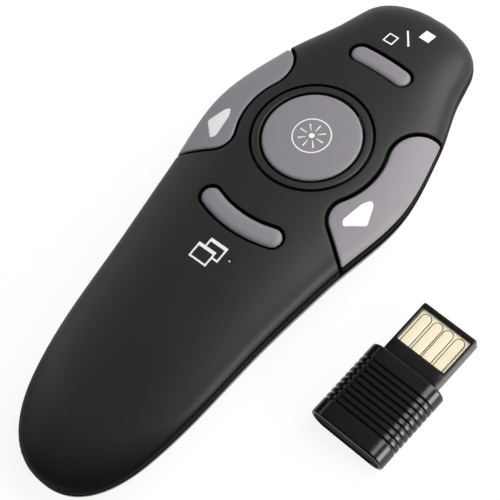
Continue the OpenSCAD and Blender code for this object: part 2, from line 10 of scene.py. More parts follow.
import bpy
import numpy as np
from mathutils import Matrix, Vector
from mathutils.geometry import delaunay_2d_cdt


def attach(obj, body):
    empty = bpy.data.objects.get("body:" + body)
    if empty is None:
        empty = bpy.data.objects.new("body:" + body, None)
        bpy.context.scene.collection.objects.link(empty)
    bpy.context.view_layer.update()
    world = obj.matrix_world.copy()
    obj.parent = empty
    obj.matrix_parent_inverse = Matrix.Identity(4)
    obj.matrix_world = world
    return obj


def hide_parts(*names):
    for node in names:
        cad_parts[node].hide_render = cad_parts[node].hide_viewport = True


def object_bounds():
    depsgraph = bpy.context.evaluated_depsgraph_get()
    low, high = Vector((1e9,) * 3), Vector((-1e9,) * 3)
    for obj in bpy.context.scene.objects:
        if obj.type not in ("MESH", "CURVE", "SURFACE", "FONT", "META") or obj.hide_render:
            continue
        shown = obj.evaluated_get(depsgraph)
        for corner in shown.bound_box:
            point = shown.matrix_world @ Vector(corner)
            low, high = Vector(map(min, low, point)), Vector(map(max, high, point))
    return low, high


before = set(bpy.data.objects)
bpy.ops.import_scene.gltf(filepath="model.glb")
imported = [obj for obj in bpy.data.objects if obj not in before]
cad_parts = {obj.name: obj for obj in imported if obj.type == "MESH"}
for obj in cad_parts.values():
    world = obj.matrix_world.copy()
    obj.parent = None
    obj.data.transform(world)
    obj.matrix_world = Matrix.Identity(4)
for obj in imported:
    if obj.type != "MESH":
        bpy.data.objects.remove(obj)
cad_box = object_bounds()
MM = 0.001
BOX_LOW, BOX_HIGH = np.array(cad_box) / MM

# ------------------------ body form, as in the CAD source
HALF_L = 57.5
STATION_Y = HALF_L * np.array([-0.765, -0.35, 0, 0.315, 0.59, 0.8])
STATION_W = np.array([15.4, 16.5, 18.9, 21.5, 18.2, 13.8])
TAIL_SLOPE, NOSE_SLOPE = -0.04, -0.25
INNER_SLOPES = (STATION_W[2:] - STATION_W[:-2]) / (STATION_Y[2:] - STATION_Y[:-2])
SLOPES = np.concatenate([[TAIL_SLOPE], INNER_SLOPES, [NOSE_SLOPE]])
TAIL_L, TAIL_POWER = 30, 2.25
NOSE_L, NOSE_POWER = 7, 2.4
END_POWER = 0.3
POWER = 2.32
CROWN = (4.9, 1.1, 1.9)
BELLY = (13.9, 0.9)
SIDE_TOP, SIDE_DROP = 13.5, 6.1
PART_SHARE = 0.143
PART_ANGLE = -math.asin(PART_SHARE ** (POWER / 2))

# lengths that stop just short of the tips, where the form's slopes run off
SLOPE_END = HALF_L * 0.99999
TIP = HALF_L * 0.999999
LEVEL_END = HALF_L * 0.9999999
SLOPE_STEP = 1e-4
LONGEST_MOVE = 0.3
RESTING = 1e-6
HALVINGS = 50


def half_w(y):
    """Half the width of the body at y."""
    y = np.asarray(y, float)
    i = np.clip(np.searchsorted(STATION_Y, y) - 1, 0, len(STATION_Y) - 2)
    h = STATION_Y[i + 1] - STATION_Y[i]
    s = (y - STATION_Y[i]) / h
    w = (2 * s**3 - 3 * s**2 + 1) * STATION_W[i] + (s**3 - 2 * s**2 + s) * h * SLOPES[i]
    w = w + (3 * s**2 - 2 * s**3) * STATION_W[i + 1] + (s**3 - s**2) * h * SLOPES[i + 1]
    w = np.where(y <= STATION_Y[0], STATION_W[0] + SLOPES[0] * (y - STATION_Y[0]), w)
    w = np.where(y >= STATION_Y[-1], STATION_W[-1] + SLOPES[-1] * (y - STATION_Y[-1]), w)
    in_tail = np.clip((TAIL_L - HALF_L - y) / TAIL_L, 0, 1)
    in_nose = np.clip((NOSE_L - HALF_L + y) / NOSE_L, 0, 1)
    tail = (1 - in_tail**TAIL_POWER) ** (1 / TAIL_POWER)
    nose = (1 - in_nose**NOSE_POWER) ** (1 / NOSE_POWER)
    return w * tail * nose


def side_z(y):
    """Height of the widest line."""
    return SIDE_TOP - SIDE_DROP * (y / HALF_L) ** 2


def ends(y):
    """Share of the full height that is left towards the tips."""
    return (1 - np.minimum(np.abs(y / HALF_L), 1) ** 2) ** END_POWER


def crown(y):
    """Height of the top over the widest line."""
    return ends(y) * (CROWN[0] + CROWN[1] * y / HALF_L + CROWN[2] * (y / HALF_L) ** 2)


def belly(y):
    """Depth of the form under the widest line, before the face that it rests on cuts it off."""
    return ends(y) * (BELLY[0] + BELLY[1] * y / HALF_L)


def flank(r):
    """Share of the crown or belly at the share r of the half width, and the other way round."""
    return np.maximum(1 - np.abs(r) ** POWER, 0) ** (1 / POWER)


def top_z(x, y):
    return side_z(y) + crown(y) * flank(x / half_w(y))


def under_z(x, y):
    return np.maximum(side_z(y) - belly(y) * flank(x / half_w(y)), 0)


def on_section(y, a):
    """Points of the sections at y, at angle a: 0 is the widest line and a quarter turn the crown."""
    s = np.sin(a)
    h = np.where(s >= 0, crown(y), belly(y)) * np.sign(s) * np.abs(s) ** (2 / POWER)
    c = np.cos(a)
    x = half_w(y) * np.sign(c) * np.abs(c) ** (2 / POWER)
    return np.stack([x, y + 0 * a, np.maximum(side_z(y) + h, 0)], -1)


class Skin:
    """The body's skin over the crown or under the belly, with a flat map of it that roughly keeps lengths."""

    def __init__(self, up):
        self.up = up
        self.y = TIP * np.sin(np.linspace(-1, 1, 6001) * math.pi / 2)
        step = np.hypot(np.diff(self.y), np.diff(self.middle(self.y)))
        self.v = np.concatenate([[0], np.cumsum(step)])
        self.v -= np.interp(0, self.y, self.v)

    def middle(self, y):
        """Height of the skin over or under the Y axis."""
        return side_z(y) + crown(y) if self.up else np.maximum(side_z(y) - belly(y), 0)

    def flat(self, p):
        """Map places of points on the skin."""
        side = np.abs(p[:, 0]) + np.abs(self.middle(p[:, 1]) - p[:, 2])
        return np.stack([np.sign(p[:, 0]) * side, np.interp(p[:, 1], self.y, self.v)], -1)

    def lift(self, uv):
        """Points on the skin of places on the map."""
        y = np.interp(uv[:, 1], self.v, self.y)
        want = np.abs(uv[:, 0])
        far = np.full(len(uv), -math.pi / 2 if self.up else 0.0)
        near = np.full(len(uv), math.pi / 2 if self.up else -math.pi / 2)
        for _ in range(HALVINGS):
            mid = (far + near) / 2
            p = on_section(y, mid)
            short = p[:, 0] + np.abs(self.middle(y) - p[:, 2]) < want
            near = np.where(short, mid, near)
            far = np.where(short, far, mid)
        p = on_section(y, (far + near) / 2)
        p[:, 0] *= np.sign(uv[:, 0])
        return p

    def level(self, p):
        """Below 0 inside the body, 0 on its skin and above 0 outside."""
        x, y, z = p[:, 0], np.clip(p[:, 1], -LEVEL_END, LEVEL_END), p[:, 2]
        rise = z - side_z(y)
        h = np.where(rise >= 0, crown(y), belly(y))
        return (np.abs(x) / half_w(y)) ** POWER + (np.abs(rise) / h) ** POWER - 1

    def slope(self, p):
        """How the level changes along X, Y and Z."""
        p = p.copy()
        p[:, 1] = np.clip(p[:, 1], -SLOPE_END, SLOPE_END)
        g = np.empty_like(p)
        for k, step in enumerate(np.eye(3) * SLOPE_STEP):
            high, low = p + step, p - step
            high[:, 1] = np.minimum(high[:, 1], LEVEL_END)
            low[:, 1] = np.maximum(low[:, 1], -LEVEL_END)
            g[:, k] = (self.level(high) - self.level(low)) / (high[:, k] - low[:, k])
        return g

    def normal(self, p):
        g = self.slope(p)
        n = g / np.maximum(np.linalg.norm(g, axis=1, keepdims=True), 1e-12)
        if not self.up:
            resting = (p[:, 2] < RESTING)[:, None]
            n = np.where(resting, np.array([0.0, 0.0, -1.0]), n)
        return n

    def settle(self, p):
        """The points moved onto the skin by the shortest way, in three steps of Newton's method."""
        p = p.copy()
        for _ in range(3):
            g = self.slope(p)
            move = (self.level(p) / np.maximum((g * g).sum(1), 1e-9))[:, None] * g
            length = np.linalg.norm(move, axis=1, keepdims=True)
            move *= np.minimum(1, LONGEST_MOVE / np.maximum(length, 1e-9))
            if not self.up:
                move[p[:, 2] < RESTING] = 0
            p = p - move
            p[:, 1] = np.clip(p[:, 1], -SLOPE_END, SLOPE_END)
            p[:, 2] = np.maximum(p[:, 2], 0)
        return p

    def done(self, p):
        """The points, kept inside the CAD box."""
        return np.clip(p, BOX_LOW, BOX_HIGH)


class Level:
    """A flat face that looks up, at height z, with the same methods as a Skin."""

    def __init__(self, z):
        self.z = z

    def flat(self, p):
        return p[:, :2].copy()

    def lift(self, uv):
        return np.column_stack([uv, np.full(len(uv), self.z)])

    def normal(self, p):
        return np.tile([0.0, 0.0, 1.0], (len(p), 1))

    def settle(self, p):
        return self.lift(p[:, :2])

    def done(self, p):
        return p


TOP = Skin(True)
UNDER = Skin(False)


# ------------------------ outlines
def even(p, step):
    """The closed outline p with points at even distances."""
    q = np.vstack([p, p[:1]])
    s = np.concatenate([[0], np.cumsum(np.linalg.norm(np.diff(q, axis=0), axis=1))])
    keep = np.concatenate([[True], np.diff(s) > 1e-9])
    q, s = q[keep], s[keep]
    n = max(12, int(round(s[-1] / step)))
    t = np.linspace(0, s[-1], n, endpoint=False)
    return np.stack([np.interp(t, s, q[:, k]) for k in range(q.shape[1])], -1)


def eased(p, step, window):
    """An even outline with its corners rounded by a moving mean."""
    p = even(p, step)
    half = int(round(window / step / 2))
    if half < 1:
        return p
    total = sum(np.roll(p, k, axis=0) for k in range(-half, half + 1))
    return even(total / (2 * half + 1), step)


def inside(points, loop):
    """Which of the points lie inside the closed outline, both flat."""
    x, y = points[:, 0], points[:, 1]
    hit = np.zeros(len(points), bool)
    for (ax, ay), (bx, by) in zip(loop, np.roll(loop, -1, axis=0)):
        if ay != by:
            hit ^= ((ay > y) != (by > y)) & (x < (bx - ax) * (y - ay) / (by - ay) + ax)
    return hit


def nearest(points, loop):
    """Distance from each point to the nearest point of the outline."""
    best = np.full(len(points), 1e9)
    for part in np.array_split(loop, max(1, len(loop) // 200)):
        d = np.linalg.norm(points[:, None, :] - part[None], axis=2).min(1)
        best = np.minimum(best, d)
    return best


def clear_of(points, outer, holes, margin):
    """The points inside outer and outside the holes that keep the margin to all of these outlines."""
    points = points[inside(points, outer) & (nearest(points, outer) > margin)]
    for hole in holes:
        points = points[~inside(points, hole) & (nearest(points, hole) > margin)]
    return points


def signed_area(loop):
    """Twice the area of a flat outline, below 0 if it runs clockwise."""
    x, y = loop[:, 0], loop[:, 1]
    return (x * np.roll(y, -1) - np.roll(x, -1) * y).sum()


def circle(r, x=0.0, y=0.0, n=None):
    n = n or max(24, int(2 * math.pi * r / 0.25))
    a = np.linspace(0, 2 * math.pi, n, endpoint=False)
    return np.column_stack([x + r * np.cos(a), y + r * np.sin(a)])


def sweep(cx, cy, r, a, b, n=24):
    """An arc from angle a to angle b in degrees."""
    t = np.radians(np.linspace(a, b, n))
    return np.column_stack([cx + r * np.cos(t), cy + r * np.sin(t)])


def box(x0, x1, y0, y1):
    return np.array([[x0, y0], [x1, y0], [x1, y1], [x0, y1]], float)


def over(plan, top=True):
    """Points of the plan, put on the skin."""
    z = top_z(plan[:, 0], plan[:, 1]) if top else under_z(plan[:, 0], plan[:, 1])
    return np.column_stack([plan, z])


def mirrored(p):
    return p[::-1] * np.array([-1, 1, 1])


# ------------------------ meshes from outlines
GRID_MARGIN = 0.45
WALL_STEP = 0.15
MERGE = 1e-6


class Points:
    """Points on a surface and how far below it each of them lies, in the order in which they were added."""

    def __init__(self):
        self.places = []
        self.drops = []
        self.count = 0

    def add(self, places, drop):
        self.places.append(places)
        self.drops.append(np.full(len(places), float(drop)))
        self.count += len(places)


def new_mesh(name, verts, faces, mat, body, place=None, walls=()):
    """A smooth-shaded object that rides on the body. The walls are faces too, in a near-black finish that
    paints the shade down in a gap.
    """
    me = bpy.data.meshes.new(name)
    me.from_pydata((np.asarray(verts, float) * MM).tolist(), [], [*faces, *walls])
    me.materials.append(mat)
    # the second finish, on the walls and the first rings beside them, paints the shade down in the gaps
    me.materials.append(GAP_SHADE_AND_LINES)
    me.polygons.foreach_set("material_index", [0] * len(faces) + [1] * len(walls))
    me.polygons.foreach_set("use_smooth", [True] * len(me.polygons))
    me.validate()
    ob = bpy.data.objects.new(name, me)
    bpy.context.scene.collection.objects.link(ob)
    if place is not None:
        me.transform(place)
    me.update()
    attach(ob, body)
    return ob


def rings_of(surface, loop, turn, reach, fall, steps):
    """Rings of an edge rounding, from the outline to where the face begins, as (points on the face, drop)."""
    p = surface.settle(loop)
    along = np.roll(p, -1, axis=0) - np.roll(p, 1, axis=0)
    along /= np.linalg.norm(along, axis=1, keepdims=True)
    inwards = np.cross(surface.normal(p), along) * turn
    inwards /= np.linalg.norm(inwards, axis=1, keepdims=True)
    rings = []
    for a in math.pi / 2 * np.arange(steps + 1) / steps:
        rings.append((surface.settle(p + inwards * reach * (1 - math.cos(a))), fall * (1 - math.sin(a))))
    return rings


def ring_quads(first, rows, size, forward):
    """Quads between rings of that size that follow each other from point number first on."""
    quads = []
    for start in range(first, first + (rows - 1) * size, size):
        for j in range(size):
            a, b = start + j, start + (j + 1) % size
            quad = [a, b, b + size, a + size]
            quads.append(quad if forward else quad[::-1])
    return quads


def ring_edges(sizes, start=0):
    """Edges of closed outlines of these sizes that follow each other from point number start on."""
    edges = []
    for size in sizes:
        edges += [(start + j, start + (j + 1) % size) for j in range(size)]
        start += size
    return edges


def staggered_grid(low, high, cell):
    """Points over that rectangle, with every other row moved by half a cell."""
    u, v = np.meshgrid(
        np.arange(math.floor(low[0] / cell), high[0] / cell + 1) * cell,
        np.arange(math.floor(low[1] / cell), high[1] / cell + 1) * cell,
    )
    u = u + cell / 2 * (np.arange(u.shape[0])[:, None] % 2)
    return np.column_stack([u.ravel(), v.ravel()])


def triangulated(points, edges, outer, holes):
    """Anticlockwise triangles over the points inside outer and outside the holes.

    Returns the flat points, with new ones where edges cross, the triangles, and for each flat point the
    numbers of the given points that it stands for.
    """
    flat, _, faces, sources, _, _ = delaunay_2d_cdt([tuple(q) for q in points], edges, [], 0, MERGE)
    flat = np.array([tuple(q) for q in flat])
    tri = np.array([f for f in faces if len(f) == 3])
    middles = flat[tri].mean(1)
    kept = inside(middles, outer)
    for hole in holes:
        kept &= ~inside(middles, hole)
    tri = tri[kept]
    a, b, c = flat[tri[:, 0]], flat[tri[:, 1]], flat[tri[:, 2]]
    left = (b[:, 0] - a[:, 0]) * (c[:, 1] - a[:, 1]) - (b[:, 1] - a[:, 1]) * (c[:, 0] - a[:, 0]) > 0
    tri[~left] = tri[~left, ::-1]
    return flat, tri, sources


def patch(
    surface, outer, holes=(), edge=0.3, hole_edge=None, fall=None,
    cell=0.8, depth=1.2, rise=0.0, steps=5, dark=0,
):
    """Vertices, faces and walls of a part of that surface, inside outer and outside the holes.

    Its edges are rounded over edge or hole_edge, and drop by as much or by fall. The walls reach depth
    further down, in the painted gap shade. The first rings of the roundings get that painted shade as well,
    as many as dark says.
    """
    facing = -1 if surface is UNDER else 1
    hole_edge = edge if hole_edge is None else hole_edge
    points, faces, walls, rims, flats = Points(), [], [], [], []
    for loop, turn, reach in [(outer, facing, edge), *((hole, -facing, hole_edge) for hole in holes)]:
        if signed_area(surface.flat(loop)) < 0:
            loop = loop[::-1]
        rings = rings_of(surface, loop, turn, reach, reach if fall is None else fall, steps)
        foot, drop = rings[0]
        rows = [(foot, drop + depth), (foot, drop + depth * WALL_STEP), *rings]
        quads = ring_quads(points.count, len(rows), len(loop), turn > 0)
        walls += quads[: (2 + dark) * len(loop)]
        faces += quads[(2 + dark) * len(loop) :]
        for row in rows:
            points.add(*row)
        rims.append(np.arange(points.count - len(loop), points.count))
        flats.append(surface.flat(rings[-1][0]))

    grid = staggered_grid(flats[0].min(0), flats[0].max(0), cell)
    grid = clear_of(grid, flats[0], flats[1:], cell * GRID_MARGIN)
    numbers = np.concatenate([*rims, points.count + np.arange(len(grid))])
    points.add(surface.lift(grid), 0)
    edges = ring_edges([len(rim) for rim in rims])
    flat, tri, sources = triangulated(np.vstack([*flats, grid]), edges, flats[0], flats[1:])
    crossings = [k for k, source in enumerate(sources) if not source]
    ids = np.array([numbers[source[0]] if source else -1 for source in sources])
    ids[crossings] = points.count + np.arange(len(crossings))
    points.add(surface.lift(flat[crossings]), 0)
    faces += ids[tri if facing > 0 else tri[:, ::-1]].tolist()

    places = np.vstack(points.places)
    lift = (rise - np.concatenate(points.drops))[:, None]
    return surface.done(places + surface.normal(places) * lift), faces, walls


# ------------------------ keys, and the openings that they sit in
KEY_Y = STATION_Y[3] + 1.9
BAR_Y = KEY_Y + 20.4
KEY_GAP = 0.43
KEY_TRIM = 0.05
KEY_RAISE = 0.05
ROUND_HOLE_R, RING_R, RING_HOLE_R, ROUND_KEY_R = 11.5, 11.05, 9.7, 9.2
ARC_R, ARC_W, ARC_HALF = 21.4, 3.8, 19.5
BAR_R, BAR_W, BAR_L = 62, 3.72, 13.1
BAR_HALF = math.degrees(math.asin((BAR_L - BAR_W) / 2 / BAR_R))
LED_X, LED_Y, LED_HOLE_R = 4, KEY_Y - 28.2, 0.46

# the ring that the side keys follow, and their straight sides: two points of each, and its inner rounding
WING_RING = 14.5
WING_REAR = (np.array([9, -9]), np.array([24, -19.6]), 4.0)
WING_FRONT = (np.array([9, 11.1]), np.array([24, 16.4]), 6.5)
WING_FOOT = -0.02
WING_LIFT = 0.6
WALL_REACH = 16.0


def last_true(test, low, high):
    """The end of the stretch from low on where the test holds."""
    for _ in range(HALVINGS):
        middle = (low + high) / 2
        if test(middle):
            low = middle
        else:
            high = middle
    return low


def degrees_of(v):
    return math.degrees(math.atan2(v[1], v[0]))


def band(cy, r, w, half, down):
    """Plan of a curved key: a band of width w with round ends, on radius r round (0, cy).

    It spans half degrees to each side, ahead of that centre or, with down, behind it.
    """
    end = r * np.array([math.sin(math.radians(half)), math.cos(math.radians(half))])
    p = np.vstack([
        sweep(0, 0, r + w / 2, 90 + half, 90 - half, 60),
        sweep(end[0], end[1], w / 2, 90 - half, -90 - half, 20),
        sweep(0, 0, r - w / 2, 90 - half, 90 + half, 60),
        sweep(-end[0], end[1], w / 2, 270 + half, 90 + half, 20),
    ])
    return np.column_stack([p[:, 0], cy + (-1 if down else 1) * p[:, 1]])


def arc_band(spare):
    """Outline of the curved key, or of its opening, with that much to spare at each side."""
    return over(band(KEY_Y, ARC_R, ARC_W + 2 * spare, ARC_HALF, True))


def bar_band(spare):
    """Outline of the bar key, or of its opening, with that much to spare at each side."""
    return over(band(BAR_Y - BAR_R, BAR_R, BAR_W + 2 * spare, BAR_HALF, False))


def wing_corner(edge, up):
    """Middle of the rounding at the inner end of a straight side, and the ways along and across that side."""
    a, b, rounding = edge
    d = (b - a) / np.linalg.norm(b - a)
    n = np.array([-d[1], d[0]]) * (1 if up else -1)
    q = a + n * rounding
    r = WING_RING + rounding
    t = -q @ d + math.sqrt((q @ d) ** 2 - q @ q + r * r)
    return q + d * t, d, n


def wall_line(start, d, a_from, a_to, n=40):
    """Where the upright plane through start along d meets the skin, from section angle a_from to a_to."""
    line = []
    for a in np.linspace(a_from, a_to, n):
        share = math.cos(a) ** (2 / POWER)
        reach = last_true(
            lambda t: start[0] + d[0] * t < half_w(start[1] + d[1] * t) * share, 0.0, WALL_REACH
        )
        line.append(on_section(start[1] + d[1] * reach, a))
    return np.array(line)


def wing_side(edge, up, gap, foot):
    """A straight side of the side key's opening with its rounding, and the direction of the rounding."""
    corner, along, across = wing_corner(edge, up)
    r = edge[2] + gap
    start = corner - across * r + np.array([0, KEY_Y])
    a_in = math.acos(min(1, (start[0] / half_w(start[1])) ** (POWER / 2)))
    turn_from, turn_to = degrees_of(-across), degrees_of(-corner)
    if up and turn_to > turn_from:
        turn_to -= 360
    if not up and turn_to < turn_from:
        turn_to += 360
    arc = over(sweep(corner[0], corner[1] + KEY_Y, r, turn_from, turn_to))
    return np.vstack([wall_line(start, along, foot, a_in), arc]), degrees_of(corner)


def wing_path(gap, foot):
    """Outline of the right side key's opening, from its front foot round the inner end to its rear foot."""
    front, front_angle = wing_side(WING_FRONT, False, gap, foot)
    rear, rear_angle = wing_side(WING_REAR, True, gap, foot)
    inner = over(sweep(0, KEY_Y, WING_RING - gap, front_angle, rear_angle, 80))
    return np.vstack([front, inner[1:-1], rear[::-1]])


def wing_outline():
    """Outline of the right side key, closed along its lower edge just over the parting line."""
    path = wing_path(-KEY_TRIM, WING_FOOT)
    low = []
    for y in np.linspace(path[-1, 1], path[0, 1], 120)[1:-1]:
        drop = max(PART_SHARE * belly(y) - WING_LIFT, 0.0)
        low.append([half_w(y) * flank(drop / belly(y)), y, side_z(y) - drop])
    return np.vstack([path, np.array(low)])


# ------------------------ shells and battery cover
LASER_Z, LASER_HOLE_R, LASER_SEARCH_Y = 7.2, 2.65, 50.0
COVER_HALF, COVER_FRONT, COVER_TOP, COVER_FLARE = 11.3, 1.8, 3.6, 0.3
COVER_GAP, COVER_SIDE_END, COVER_REAR_END = 0.15, -57.3, -57.4
COVER_ROUNDS = 40
SWITCH_SLOT = box(-1.05, 1.05, 11.3, 16.71)
SCREW_HOLE_R = 1.8
SCREW_PLACES = ((11.5, 5), (9, 44))


def part_curve(y):
    """The right half of the parting line."""
    return on_section(y, np.full(len(y), PART_ANGLE))


def dense(y_from, y_to, n=500):
    """Values of y between the two that lie closer together towards the tips."""
    lo, hi = math.asin(y_from / HALF_L), math.asin(y_to / HALF_L)
    return HALF_L * np.sin(np.linspace(lo, hi, n))


def laser_arc(side, n=60):
    """The edge of the laser's opening in the nose, over (side 1) or under (side -1) the parting line.

    It runs from right to left. The first value is the y at which the opening meets the parting line.
    """
    y = np.linspace(LASER_SEARCH_Y, TIP, 4000)
    line = part_curve(y)
    outside = np.hypot(line[:, 0], line[:, 2] - LASER_Z) > LASER_HOLE_R
    y_meet = y[np.nonzero(outside)[0][-1]]
    meet = part_curve(np.array([y_meet]))[0]
    phi = math.atan2(meet[2] - LASER_Z, meet[0])
    end = math.pi - phi if side > 0 else -math.pi - phi
    arc = []
    for t in np.linspace(phi, end, n)[1:-1]:
        x, z = LASER_HOLE_R * math.cos(t), LASER_Z + LASER_HOLE_R * math.sin(t)
        reach = last_true(lambda at: TOP.level(np.array([[x, at, z]]))[0] < 0, LASER_SEARCH_Y, TIP)
        arc.append([x, reach, z])
    return y_meet, np.array(arc)


def shell_outline(top):
    """Outline of the top or the bottom shell along the parting line, with the notches for the side keys."""
    y_meet, arc = laser_arc(1 if top else -1)
    if top:
        notch = wing_path(KEY_GAP, PART_ANGLE)
        ahead, behind = dense(y_meet, notch[0, 1]), dense(notch[-1, 1], -SLOPE_END)
        right = np.vstack([part_curve(ahead), notch, part_curve(behind)])
    else:
        right = part_curve(dense(y_meet, -SLOPE_END, 900))
    return np.vstack([right, mirrored(right), arc[::-1]])


def cover_outline(gap):
    """Outline of the battery cover: flared sides along the belly, and a level rear edge round the tail."""
    half, high, front = COVER_HALF - gap, COVER_TOP - gap, COVER_FRONT - gap
    side = []
    for y in dense(front, COVER_SIDE_END, 900):
        x = half
        for _ in range(COVER_ROUNDS):
            x = half - COVER_FLARE * (COVER_TOP - under_z(x, y))
        z = under_z(x, y)
        if z >= high or x >= half_w(y):
            break
        side.append([x, y, z])
    back = []
    for y in dense(side[-1][1], COVER_REAR_END, 900):
        drop = (side_z(y) - high) / belly(y)
        if drop >= 1:
            break
        back.append([min(half_w(y) * flank(drop), side[-1][0] + 0.02), y, high])
    right = np.array(side + back[1:])
    across = np.column_stack([np.linspace(-side[0][0], side[0][0], 80)[1:-1], np.full(78, front)])
    return np.vstack([right, mirrored(right), over(across, top=False)])


# ------------------------ materials
ROUGH_SPREAD = 0.05
# black band from a little over the widest line down: the colour of the black side strip carried up, which
# also paints the shade and the dark reflection along the lower rim
STRIP_OVER, STRIP_EDGE, STRIP_SPEC = 0.7, 0.08, 0.02
STRIP_AND_SHADE_BLACK = (7, 7, 7)
# painted shade: towards the tail's end the black band reaches further up, darkening the tail's rim
TAIL_SHADE_RISE, TAIL_SHADE_END = 4.0, -22
SPOT_R, SPOT_FADE_R = 0.12, 0.3
SPOT_GREY, PIPE_SMOKE = (185, 183, 180), (40, 38, 38)

# how the material of each slot differs from a plain plastic
LOOKS = {
    "shell_matte_black": dict(rgb=(35, 33, 35), rough=0.44, grain=2600, bump=0.08, spec=0.34),
    "shell_gloss_black": dict(rgb=(13, 12, 12), rough=0.2, grain=500, bump=0.01),
    "key_grey": dict(rgb=(132, 130, 136), rough=0.5, grain=2600, bump=0.06, shade=0.03, spec=0.4),
    "clear_lens": dict(rgb=(200, 200, 196), rough=0.12, bump=0.0),
    # the board's green, painted darker as the shade inside the closed case, where it shows through the gaps
    "board_green": dict(rgb=(14, 36, 22), rough=0.4, grain=300, bump=0.05, shade=0.2),
    "chip_black": dict(rgb=(26, 26, 27), rough=0.6, bump=0.06),
    "plated_steel": dict(rgb=(190, 190, 186), rough=0.3, metal=1.0),
    "barrel_brass": dict(rgb=(190, 160, 92), rough=0.32, metal=1.0),
    "cell_jacket": dict(rgb=(58, 70, 92), rough=0.35),
    "receiver_black": dict(rgb=(8, 5, 4), rough=0.23, grain=1800, bump=0.03, spec=0.6),
    "board_ivory": dict(rgb=(250, 243, 216), rough=0.5, bump=0.03, shade=0.02),
    "contact_gold": dict(rgb=(250, 238, 208), rough=0.4, shade=0.03),
}


def linear(rgb, tone=1.0):
    """Scene values of a colour that is written as it shows, from 0 to 255, times that tone."""
    values = [v / 255 / 12.92 if v <= 10.31 else ((v / 255 + 0.055) / 1.055) ** 2.4 for v in rgb]
    return (*[min(1, v * tone) for v in values], 1)


def nodes_of(name):
    mat = bpy.data.materials.new(name)
    mat.use_nodes = True
    return mat, mat.node_tree, mat.node_tree.nodes["Principled BSDF"]


def noise(tree, where, scale, detail):
    """A noise over the object's own space."""
    node = tree.nodes.new("ShaderNodeTexNoise")
    node.inputs["Scale"].default_value = scale
    node.inputs["Detail"].default_value = detail
    tree.links.new(where.outputs["Object"], node.inputs["Vector"])
    return node.outputs["Fac"]


def feed(tree, socket, value):
    """Sets an input to that value, or links it where the value is a socket."""
    if isinstance(value, bpy.types.NodeSocket):
        tree.links.new(value, socket)
    else:
        socket.default_value = value


def blend(tree, factor, a, b):
    """A mix of two colours or sockets, b where the factor is 1."""
    node = tree.nodes.new("ShaderNodeMix")
    node.data_type = "RGBA"
    feed(tree, node.inputs["A"], a)
    feed(tree, node.inputs["B"], b)
    feed(tree, node.inputs["Factor"], factor)
    return node.outputs["Result"]


def math_node(tree, operation, *values):
    """A math node on numbers or sockets."""
    node = tree.nodes.new("ShaderNodeMath")
    node.operation = operation
    for socket, value in zip(node.inputs, values):
        feed(tree, socket, value)
    return node.outputs["Value"]


def vector_node(tree, operation, *values):
    """A vector math node on vectors or sockets."""
    node = tree.nodes.new("ShaderNodeVectorMath")
    node.operation = operation
    for socket, value in zip(node.inputs, values):
        feed(tree, socket, value)
    return node.outputs["Value" if operation in ("DOT_PRODUCT", "LENGTH") else "Vector"]


def mapped(tree, value, source=(0.0, 1.0), target=(0.0, 1.0), smooth=False):
    """The value taken from the source span to the target span, and held at its ends."""
    node = tree.nodes.new("ShaderNodeMapRange")
    node.interpolation_type = "SMOOTHSTEP" if smooth else "LINEAR"
    for key, end in zip(("From Min", "From Max", "To Min", "To Max"), (*source, *target)):
        feed(tree, node.inputs[key], end)
    feed(tree, node.inputs["Value"], value)
    return node.outputs["Result"]


def plastic(name, rgb, rough=0.45, grain=900.0, bump=0.02, shade=0.06, metal=0.0, coat=0.0, spec=0.5):
    """A moulded or plated surface: fine grain in the bump, and slow changes of tone and roughness."""
    mat, tree, shader = nodes_of(name)
    where = tree.nodes.new("ShaderNodeTexCoord")
    slow = noise(tree, where, 60, 3)
    tone = blend(tree, slow, linear(rgb, 1 - shade), linear(rgb, 1 + shade))
    tree.links.new(tone, shader.inputs["Base Color"])
    gloss = mapped(tree, slow, target=(max(0.02, rough - ROUGH_SPREAD), min(1, rough + ROUGH_SPREAD)))
    tree.links.new(gloss, shader.inputs["Roughness"])
    relief = tree.nodes.new("ShaderNodeBump")
    relief.inputs["Strength"].default_value = bump
    relief.inputs["Distance"].default_value = 0.2 * MM
    tree.links.new(noise(tree, where, grain, 2), relief.inputs["Height"])
    tree.links.new(relief.outputs["Normal"], shader.inputs["Normal"])
    shader.inputs["Metallic"].default_value = metal
    shader.inputs["Specular IOR Level"].default_value = spec
    shader.inputs["Coat Weight"].default_value = coat
    shader.inputs["Coat Roughness"].default_value = 0.06
    return mat


def over_widest_line(tree, where):
    """Height over the body's widest line, plus SIDE_TOP, in metres."""
    y, z = where.outputs["Y"], where.outputs["Z"]
    return math_node(tree, "MULTIPLY_ADD", math_node(tree, "MULTIPLY", y, y), SIDE_DROP / HALF_L**2 / MM, z)


def blacken_strip_and_shade(mat):
    """Turns the finish black and dull from a little over the widest line down, as the strip on the side is;
    this also paints the shade and the dark reflection along the lower rim.

    Towards the tail's end it turns black more softly, from further up: painted shade on the tail's rim.
    """
    tree = mat.node_tree
    shader = tree.nodes["Principled BSDF"]
    where = tree.nodes.new("ShaderNodeSeparateXYZ")
    tree.links.new(tree.nodes.new("ShaderNodeTexCoord").outputs["Object"], where.inputs["Vector"])
    top = (SIDE_TOP + STRIP_OVER) * MM
    tail = (-HALF_L * MM, TAIL_SHADE_END * MM)
    # painted shade: the band's top rises towards the tail's end
    full = mapped(tree, where.outputs["Y"], tail, (top + TAIL_SHADE_RISE * MM, top), smooth=True)
    above = mapped(tree, over_widest_line(tree, where), (top - STRIP_EDGE * MM, full))
    own_tone = shader.inputs["Base Color"].links[0].from_socket
    tree.links.new(blend(tree, above, linear(STRIP_AND_SHADE_BLACK), own_tone), shader.inputs["Base Color"])
    own_spec = shader.inputs["Specular IOR Level"].default_value
    tree.links.new(mapped(tree, above, target=(STRIP_SPEC, own_spec)), shader.inputs["Specular IOR Level"])
    return mat


